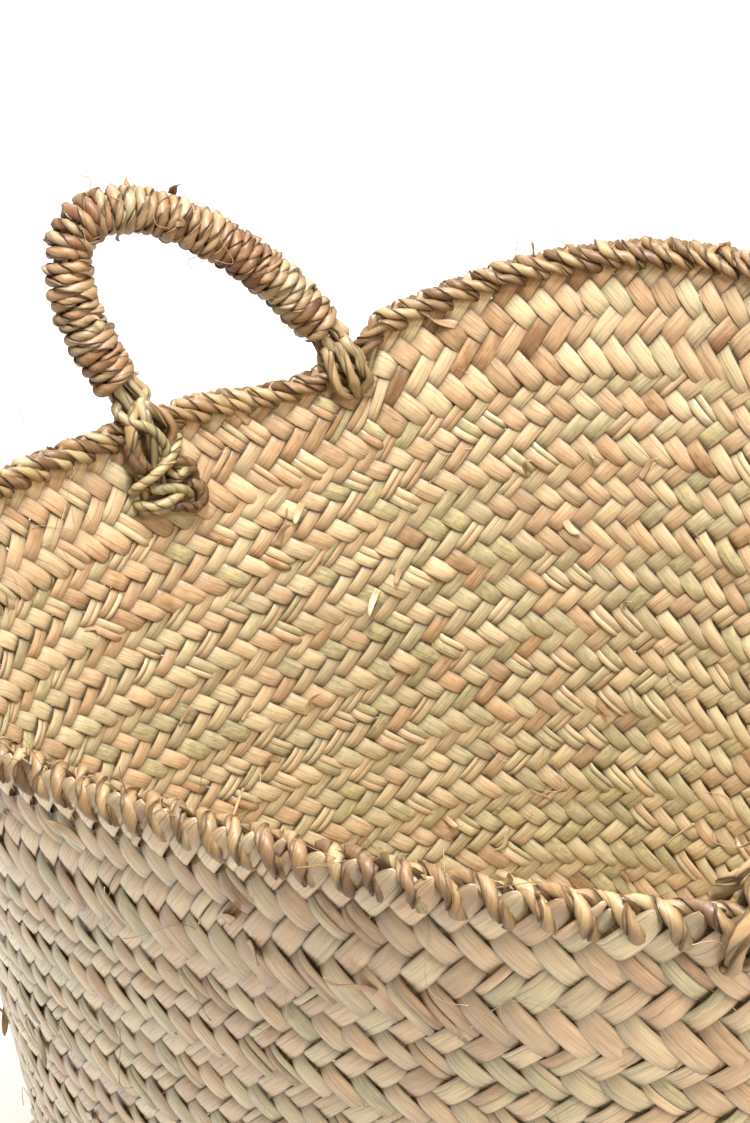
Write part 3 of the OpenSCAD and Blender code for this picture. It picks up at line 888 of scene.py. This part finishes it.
def make_foot(handle, side):
    """The bare strands of one foot: out of the wrapping, astride the rim and into the wall."""
    past = handle.wrap_start + np.array(LEAVE_AT)
    arch_u = past if side == 0 else 180 - past
    out_of = handle.foot(side, 0, -1, 0) - handle.foot(side, 0, 0, 0)
    back = handle.foot(side, 1, 0, 0) - handle.foot(side, 0, 0, 0)
    inner, outer = [], []
    for turn in strand_turns():
        spot = handle.ring(arch_u, np.array(LEAVE_OFF), turn)
        off = spot[-1] - handle.at(arch_u[-1:])[0]
        (outer if off @ out_of > 0 else inner).append((off @ back, spot))
    ways = []
    for group, drop in ((inner, INNER_KNOT if side == 0 else INNER_ENTER), (outer, OUTER_ENTER)):
        group.sort(key=lambda item: item[0])
        for k, (_, spot) in enumerate(group):
            share = (k - (len(group) - 1) / 2) / max(1, (len(group) - 1) / 2)
            x, inward, z = (np.array(drop) + rng.standard_normal(np.shape(drop)) * FOOT_JITTER).T
            below = handle.foot(side, x * share * FAN, inward + STAGGER * (k % 2), z)
            ways.append(curve_through(np.concatenate([spot, below])[None], FOOT_STATIONS)[0])
    letter = "ab"[side]
    piece = cord_piece(f"{handle.body}_strands_{letter}", np.array(ways), STRAND_D, STRAND_TWIST,
                       FOOT_HUES[side], FOOT_HUE_SPREAD, per_length=40, rough=0.12, leafy=True, wander=0.4)
    piece.data.materials.append(MATERIALS["handle_strands"])
    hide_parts(f"{handle.body}_loop_{letter}")
    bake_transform(piece)


# Lashings of the knot: each one's hue, and its points (along, inwards, up) in mm by the first foot
LASHINGS = (
    (0.95, ((-16, 3, -31), (-13, 8.5, -27.5), (-6, 12.6, -24), (2, 13.4, -20), (9, 11.8, -15.5),
            (14, 8.5, -12), (16, 4, -11))),
    (0.66, ((-12, 3, -26), (-8, 7, -29), (-3, 9.6, -32), (3, 10.6, -33.5), (8, 10.0, -35.5),
            (12, 8, -39), (13, 4, -43))),
    (0.9, ((-15, 3, -37), (-12, 7.5, -38.5), (-6, 9.8, -40), (1, 10.2, -39.5), (7, 9.4, -38.5),
           (11, 7, -38), (13, 3, -37))),
    (0.62, ((-14, 2, -40), (-11, 6.5, -42), (-5, 8.2, -43), (1, 8.0, -43.5), (6, 7.0, -43),
            (9, 4, -42))),
    (0.22, ((2, 4, -18), (5, 9.2, -20.5), (10, 10.4, -21), (15, 9.0, -23.5), (18, 6.2, -27),
            (18.5, 3, -29))),
    (0.75, ((4, 4, -23), (6, 9.4, -26.5), (10, 9.8, -28.5), (13, 8.6, -26.0), (11, 8.4, -23.5),
            (7, 7.0, -23.0))),
    (0.1, ((3, 5, -31), (8, 9.6, -30.5), (13, 9.4, -28.5), (17.5, 7.6, -29.5), (18, 6.2, -33.5),
           (14, 6.0, -35), (9, 4, -35))),
    (0.26, ((12, 4, -34), (16, 7.0, -36), (19, 7.4, -41), (18.5, 7.2, -46), (15, 6.4, -49.5),
            (11, 4.6, -49))),
    (0.14, ((15, 3, -35), (20, 5.4, -38.5), (21, 5.8, -43.5), (19, 5.2, -48), (14, 3.4, -51))),
    (0.08, ((-2, 4, -42), (3, 7.6, -44), (8, 8.2, -46), (13, 6.8, -48.5), (15, 4, -50))),
    (0.06, ((-6, 3, -1), (-12, 7.6, -4), (-13, 9.8, -11), (-10.5, 9.4, -17.5), (-6, 6.5, -22),
            (-4, 4, -25))),
    (0.24, ((-3, 4, -2), (-8, 8.4, -6), (-8.5, 9.6, -13), (-6, 8.4, -19), (-2, 5, -24))),
    (0.64, ((6, -8, 12), (-4, -3, 16), (-11.5, 4, 12.5), (-9, 10.6, 7), (-2, 13.2, 2.5),
            (3.5, 13.4, -5), (5.5, 12.0, -13), (4, 8, -22))),
)
LASHING_D, LASHING_TWIST, LASHING_STATIONS = 5.4, 14, 60
LASHING_HUE_SPREAD, LASHING_TONE = 0.05, (0.96, 0.07)


def make_knot(handle):
    """The lashings that finish the strands inside the wall under the first foot."""
    ways = [curve_through(handle.foot(0, *np.array(points, float).T)[None], LASHING_STATIONS)[0]
            for _, points in LASHINGS]
    grid, across, along, count = plied(np.array(ways), LASHING_D, LASHING_TWIST, taper=3, rough=0.14,
                                       leafy=True, wander=0.3)
    hues = np.tile([hue for hue, _ in LASHINGS], 2)[:, None, None]
    hues = in_palette(hues + rng.normal(0, LASHING_HUE_SPREAD, (count, 1, 1)))
    ident = rng.random((count, 1, 1))
    # Painted shade in the grooves between the plies, at their pointed edges
    mix = (hues, rng.normal(*LASHING_TONE, (count, 1, 1)), GROOVE_PAINTED_SHADE * np.abs(across) ** 4)
    piece = loft(f"{handle.body}_lashings", grid, across, along, ident, mix, sharp=leafy_edges(grid))
    finish_piece(piece, "basket", "knot_cord", [f"{handle.body}_knot"])


# --- Loose fibres and broken ends of leaf ---

STRAY_STATIONS = 14
STRAY_LIFT = 1.7  # power by which a stray end lifts off more and more
# Fibres: least and greatest length, as shares of the longest, and rise, as shares of the length
FIBRE_LENGTHS, FIBRE_RISES, FIBRE_BEND = (0.35, 1.0), (0.0, 0.5), 0.8
FIBRE_D, FIBRE_TWIST = 0.3, 50
FIBRE_HUES, FIBRE_TONE = (0.1, 0.8), 0.95
# Broken ends of leaf: the same, then the twist in radians and the half widths in mm
END_LENGTHS, END_RISES, END_BEND = (0.4, 1.0), (0.1, 0.55), 0.25
END_TWIST, END_HALF = 0.9, (0.8, 2.4)
END_T = 0.6  # their thickness, as a share of a strip's
END_HUES, END_TONE = (0.05, 0.7), (0.97, 0.08)
# Numbers and greatest lengths in mm of the fibres and of the broken ends
WALL_FIBRES, WALL_ENDS = (150, 34), (130, 17)
RIM_FIBRES, RIM_ENDS = (45, 26), (40, 8)
GRIP_FIBRES, GRIP_ENDS = (14, 20), (7, 10)
RIM_ARC = (25, 155)  # degrees of the rim that are clear of both handles, on either side
RIM_CLEAR = 8  # mm of the wall under the rim's edge that has none
ABOVE_EDGE = 2.5  # mm from the rim's edge up to where a fibre of its cord starts
UNDER_WRAP = 1.2  # mm from the grip's surface in to where a fibre of it starts


def stray_paths(spots, longest, lengths, rises, bend):
    """Paths that leave their spots along the surface, rise off it and bend sideways. Returns them
    with their lengths. spots holds the starts, the directions and the ways off the surface."""
    at, way, out = (v[:, None] for v in spots)
    size = (len(at), 1, 1)
    t = np.linspace(0, 1, STRAY_STATIONS)[None, :, None]
    length = rng.uniform(*lengths, size) * longest
    rise = length * rng.uniform(*rises, size)
    sideways = length * rng.normal(0, bend, size)
    path = (at + way * length * t + out * rise * t ** STRAY_LIFT
            + np.cross(out, way) * sideways * np.sin(3.0 * t) * t)
    return path, length


def fibres(name, spots, longest, body, slot):
    """Hair-thin fibres."""
    path, _ = stray_paths(spots, longest, FIBRE_LENGTHS, FIBRE_RISES, FIBRE_BEND)
    grid, across, along, count = plied(path, FIBRE_D, FIBRE_TWIST, plies=1, sides=5, rough=0.1)
    ident = rng.random((count, 1, 1))
    mix = (rng.uniform(*FIBRE_HUES, (count, 1, 1)), FIBRE_TONE, 0.0)
    piece = loft(name, grid, across, along, ident, mix)
    finish_piece(piece, body, slot)


def leaf_ends(name, spots, longest, body, slot):
    """Broken ends of leaf that curl off the surface, twist and narrow to a ragged tip."""
    path, length = stray_paths(spots, longest, END_LENGTHS, END_RISES, END_BEND)
    size = (len(path), 1, 1)
    t = np.linspace(0, 1, STRAY_STATIONS)[None, :, None]
    run = tangents(path)
    beside = unit(np.cross(spots[2][:, None], run))
    normal = np.cross(run, beside)
    turn = rng.normal(0, END_TWIST, size) * t
    flat = beside * np.cos(turn) + normal * np.sin(turn)
    thick = normal * np.cos(turn) - beside * np.sin(turn)
    half = rng.uniform(*END_HALF, size) * np.sqrt(np.clip(1 - t ** 3, 0.02, 1))
    grid = (path[:, :, None] + flat[:, :, None] * (half * SECTION_C)[..., None]
            + thick[:, :, None] * (END_T * SECTION_T * np.ones_like(half))[..., None])
    ident = rng.random(size)
    mix = (rng.uniform(*END_HUES, size), rng.normal(*END_TONE, size), 0.0)
    piece = loft(name, grid, SECTION_C, t * length, ident, mix, sharp=SECTION_EDGES)
    finish_piece(piece, body, slot)


def on_wall(count, face):
    """Random places on one face of the wall, with a direction along a strip."""
    at, along, up, inside = surface(rng.uniform(0, 360, count), rng.uniform(RIM_CLEAR, WALL_DROP, count))
    way = unit(along * rng.choice([-1, 1], (count, 1)) + up * rng.choice([-1, 1], (count, 1)))
    return at + inside * face * PLAIT_T / 2, way, inside * face


def on_rim(count):
    """Random places on the rim away from the handles, with a direction up or along it."""
    turned = rng.uniform(*RIM_ARC, count) + rng.choice([0, 180], count)
    at, along, up, inside = surface(turned, np.full(count, -ABOVE_EDGE))
    way = unit(along * rng.normal(0, 1, (count, 1)) + up * 0.6 + inside * rng.normal(0, 0.5, (count, 1)))
    return at, way, unit(up + inside * 0.3)


def on_grip(handle, count):
    """Random places on a grip, with a direction mostly round it."""
    u = rng.uniform(handle.wrap_start, 180 - handle.wrap_start, count)
    turn = rng.uniform(0, 2 * math.pi, count)
    out = unit(handle.ring(u, 1.0, turn) - handle.at(u))
    way = unit(handle.at(u + 1) - handle.at(u)) * rng.choice([-1, 1], (count, 1))
    around = np.cross(out, way)
    around = unit(around + way * rng.normal(0, 0.5, (count, 1)))
    return handle.at(u) + out * (GRIP_D / 2 - UNDER_WRAP), around, out


def make_stray_leaf():
    for face, label in ((1, "inside"), (-1, "outside")):
        count, longest = WALL_FIBRES
        fibres(f"{label}_fibres", on_wall(count, face), longest, "basket", "plaited_leaf")
        count, longest = WALL_ENDS
        leaf_ends(f"{label}_leaf_ends", on_wall(count, face), longest, "basket", "plaited_leaf")
    count, longest = RIM_FIBRES
    fibres("rim_fibres", on_rim(count), longest, "basket", "rim_cord")
    count, longest = RIM_ENDS
    leaf_ends("rim_leaf_ends", on_rim(count), longest, "basket", "rim_cord")


def make_stray_wrap(handle):
    count, longest = GRIP_FIBRES
    fibres(f"{handle.body}_fibres", on_grip(handle, count), longest, handle.body, "handle_wrap")
    count, longest = GRIP_ENDS
    leaf_ends(f"{handle.body}_leaf_ends", on_grip(handle, count), longest, handle.body, "handle_wrap")


make_bands()
make_rim_cord()
make_seam_cords()
make_stray_leaf()
for handle in (Handle(1), Handle(2)):
    make_wrap(handle)
    make_stray_wrap(handle)
    make_core(handle)
    make_foot(handle, 0)
    make_foot(handle, 1)
    make_knot(handle)
